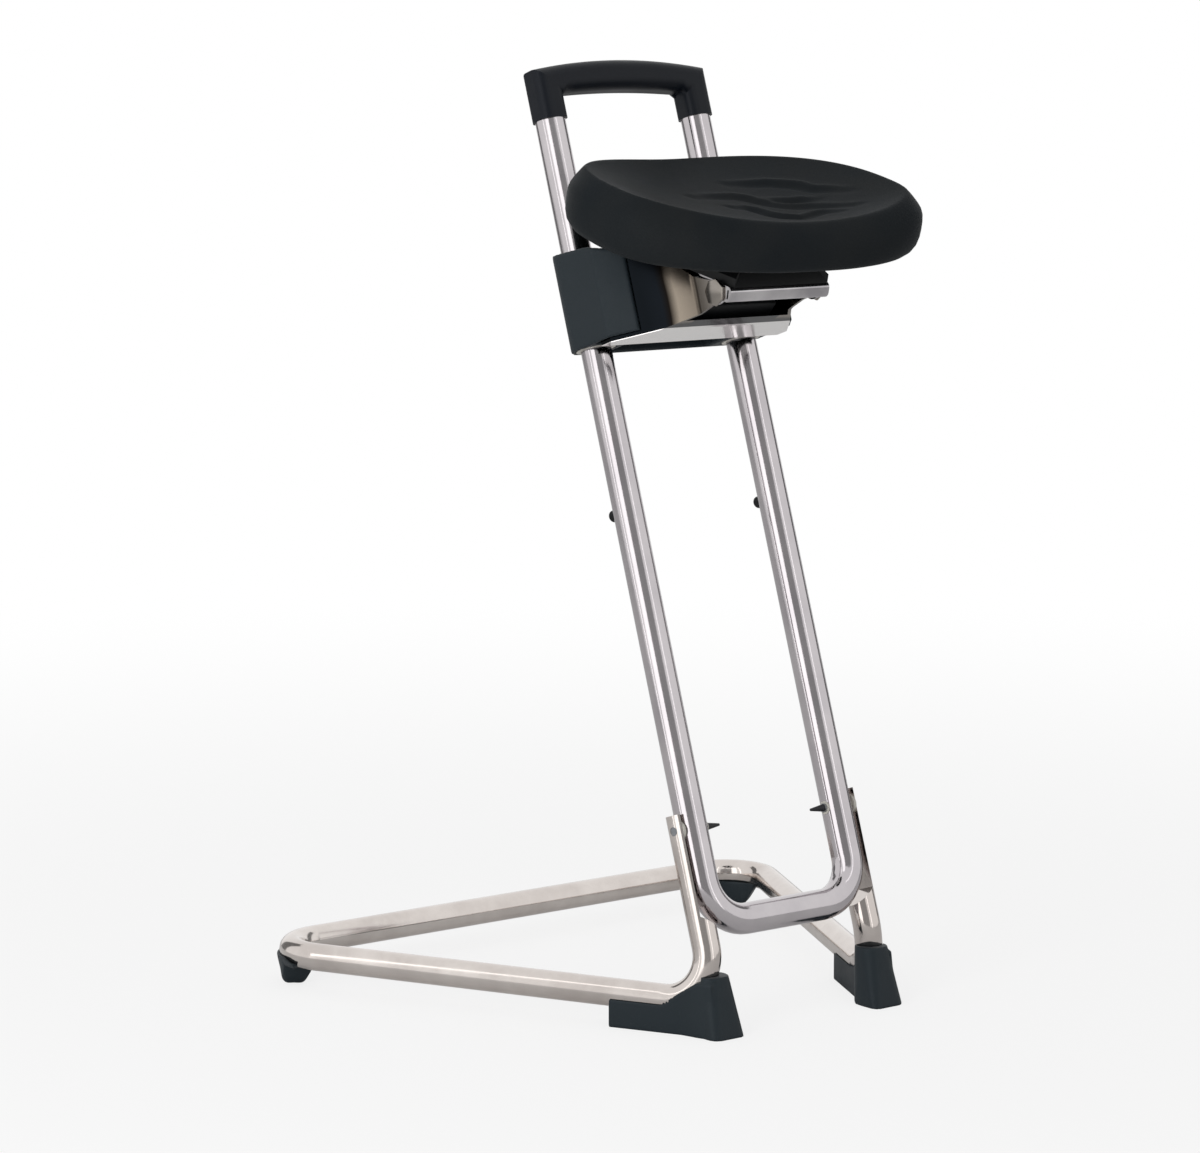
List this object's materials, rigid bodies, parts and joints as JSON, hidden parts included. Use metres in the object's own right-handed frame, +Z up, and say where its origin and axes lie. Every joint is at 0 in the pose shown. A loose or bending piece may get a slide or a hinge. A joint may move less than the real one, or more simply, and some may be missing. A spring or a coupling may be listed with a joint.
{
  "type": "perch stool",
  "caption": "Sit-stand perch stool with a leaning folding mast on a low U-shaped floor frame, a sliding carriage, a tilting moulded foam seat and a carrying handle.",
  "frame": {"origin": "on the floor, under the centre of the bounding box", "axes": "+Z up, the sitter faces -Y, +X is the sitter's left; the plane X = 0 is the stool's plane of symmetry"},
  "size_m": [0.5838, 0.4844, 0.8492],
  "materials": {
    "floor_tube": "polished",
    "mast_tube": "polished",
    "bracket_plate": "polished",
    "tray_plate": "polished",
    "slate_plastic": "satin",
    "handle_plastic": "satin",
    "pan_plastic": "satin",
    "cap_plastic": "satin",
    "bush_plastic": "satin",
    "foam_skin": "satin",
    "rubber": "matte",
    "steel": "satin"
  },
  "bodies": {
    "base": {"base_tube": "floor_tube", "right_foot": "slate_plastic", "left_foot": "slate_plastic", "right_glide": "slate_plastic", "left_glide": "slate_plastic", "foot_screws": "steel", "right_pivot_pin": "steel", "left_pivot_pin": "steel", "right_pin_cap": "cap_plastic", "left_pin_cap": "cap_plastic", "right_pivot_washer": "bush_plastic", "left_pivot_washer": "bush_plastic"},
    "mast": {"mast_tube": "mast_tube", "right_pivot_sleeve": "bush_plastic", "left_pivot_sleeve": "bush_plastic", "right_stop_buffer": "rubber", "left_stop_buffer": "rubber", "handle": "handle_plastic", "handle_screws": "steel"},
    "carriage": {"carriage_housing": "slate_plastic", "carriage_bracket": "bracket_plate", "right_upper_bush": "bush_plastic", "right_lower_bush": "bush_plastic", "left_upper_bush": "bush_plastic", "left_lower_bush": "bush_plastic", "housing_screws": "steel", "brake_guides": "steel", "tilt_axle": "steel", "axle_caps": "steel", "tilt_spring": "steel"},
    "brake": {"brake_bar": "steel", "right_brake_pad": "rubber", "left_brake_pad": "rubber"},
    "seat": {"seat_bracket": "tray_plate", "right_tilt_bush": "bush_plastic", "left_tilt_bush": "bush_plastic", "seat_pan": "pan_plastic", "seat_cushion": "foam_skin", "seat_screws": "steel"}
  },
  "joints": [
    {"name": "fold_hinge", "type": "hinge", "parent": "base", "child": "mast", "pos_m": [0, -0.14626, 0.17675], "axis": [-1, 0, 0], "range_deg": [0, 72]},
    {"name": "height_slide", "type": "slide", "parent": "mast", "child": "carriage", "axis": [0, 0.3115, 0.9502], "range_m": [-0.134, 0.114]},
    {"name": "seat_tilt", "type": "hinge", "parent": "carriage", "child": "seat", "pos_m": [0, -0.14261, 0.65016], "axis": [1, 0, 0], "range_deg": [0, 6], "stiffness_Nm_per_rad": 4, "springref_deg": -17.19},
    {"name": "brake_slide", "type": "slide", "parent": "carriage", "child": "brake", "axis": [0, -0.9502, 0.3115], "range_m": [0, 0.002]}
  ],
  "couplings": [
    {"joint": "brake_slide", "follows": "seat_tilt", "m_per_rad": 0.019}
  ]
}
